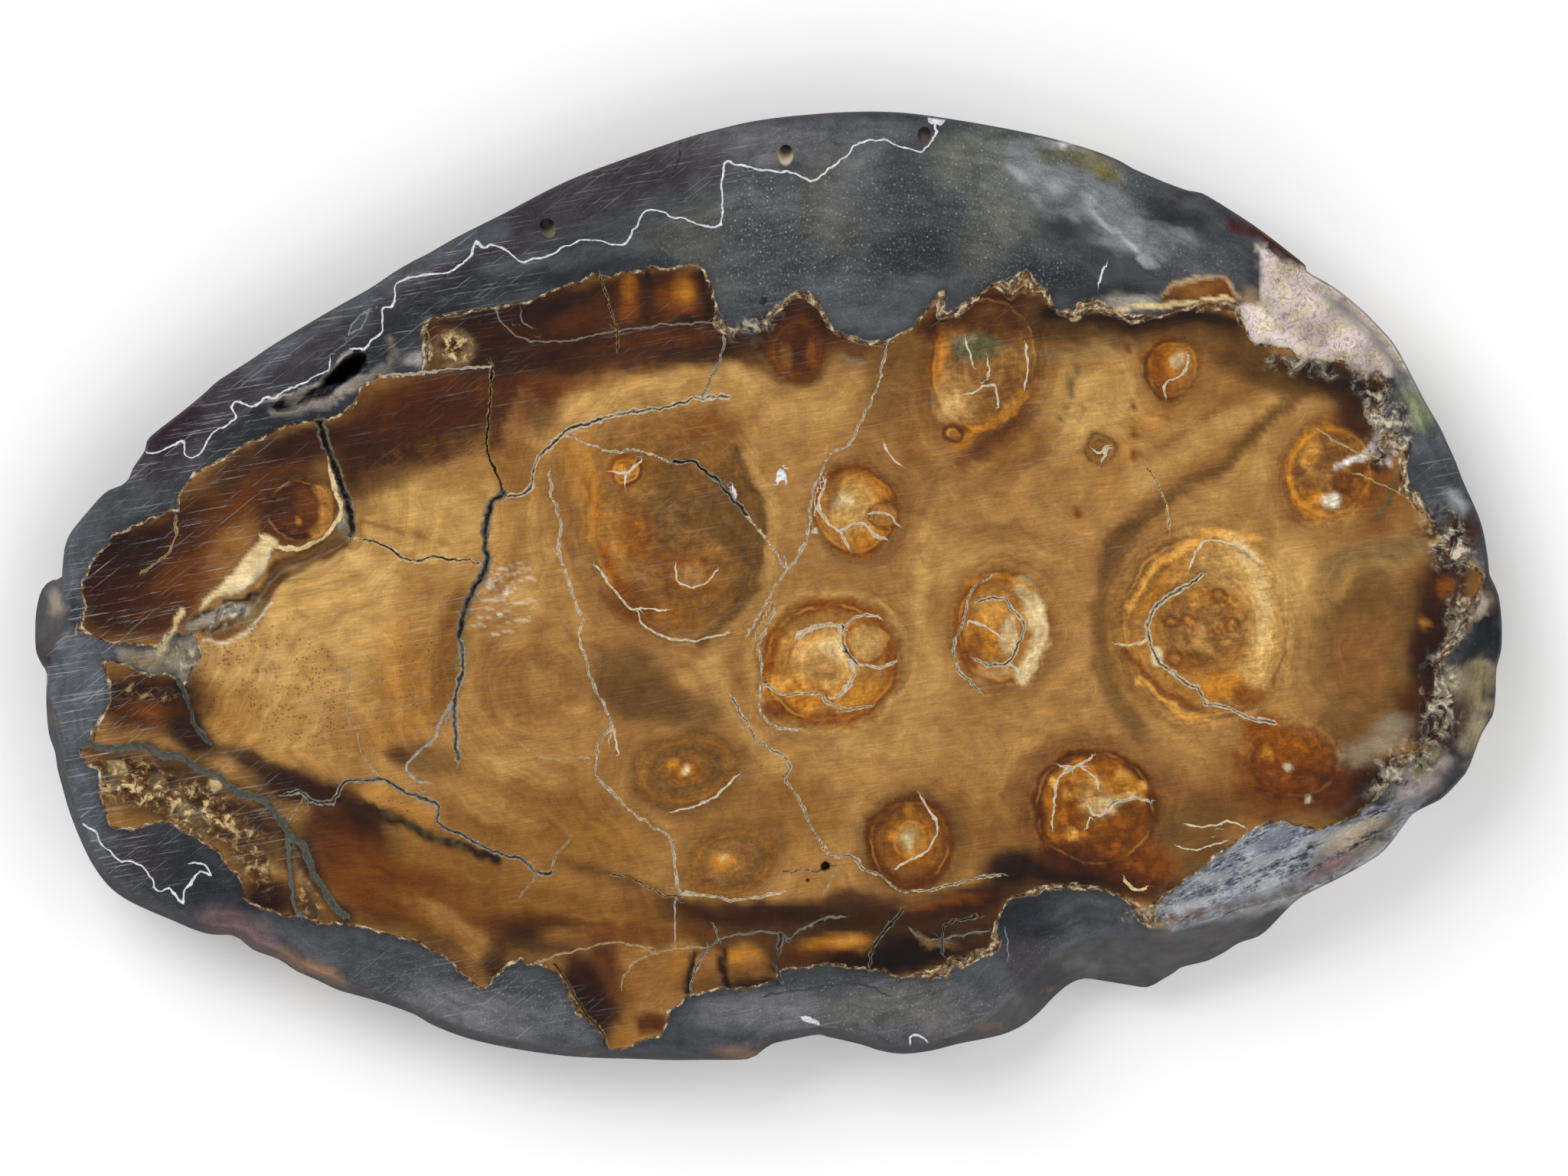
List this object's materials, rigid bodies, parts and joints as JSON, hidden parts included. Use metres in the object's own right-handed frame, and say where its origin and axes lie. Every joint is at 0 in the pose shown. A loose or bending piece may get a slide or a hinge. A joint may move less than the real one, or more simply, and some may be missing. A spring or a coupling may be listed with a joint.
{
  "type": "woolly mammoth tooth slice",
  "caption": "Polished cross slice of a fossil woolly mammoth tooth: oval slab, dark rind, honey-brown core with round pulp stones, open cracks, drilled edge holes.",
  "frame": {"origin": "on the surface the slice lies on, under the middle of its bounding box", "axes": "+X along the slice's longest extent, +Y across it towards the drilled edge, +Z out of the polished face"},
  "size_m": [0.15, 0.097, 0.012],
  "materials": {
    "fossil_tooth": "polished honey-brown fossil dentine inside a satin slate-grey rind"
  },
  "bodies": {
    "root": {"tooth_slice": "fossil_tooth"}
  },
  "joints": []
}
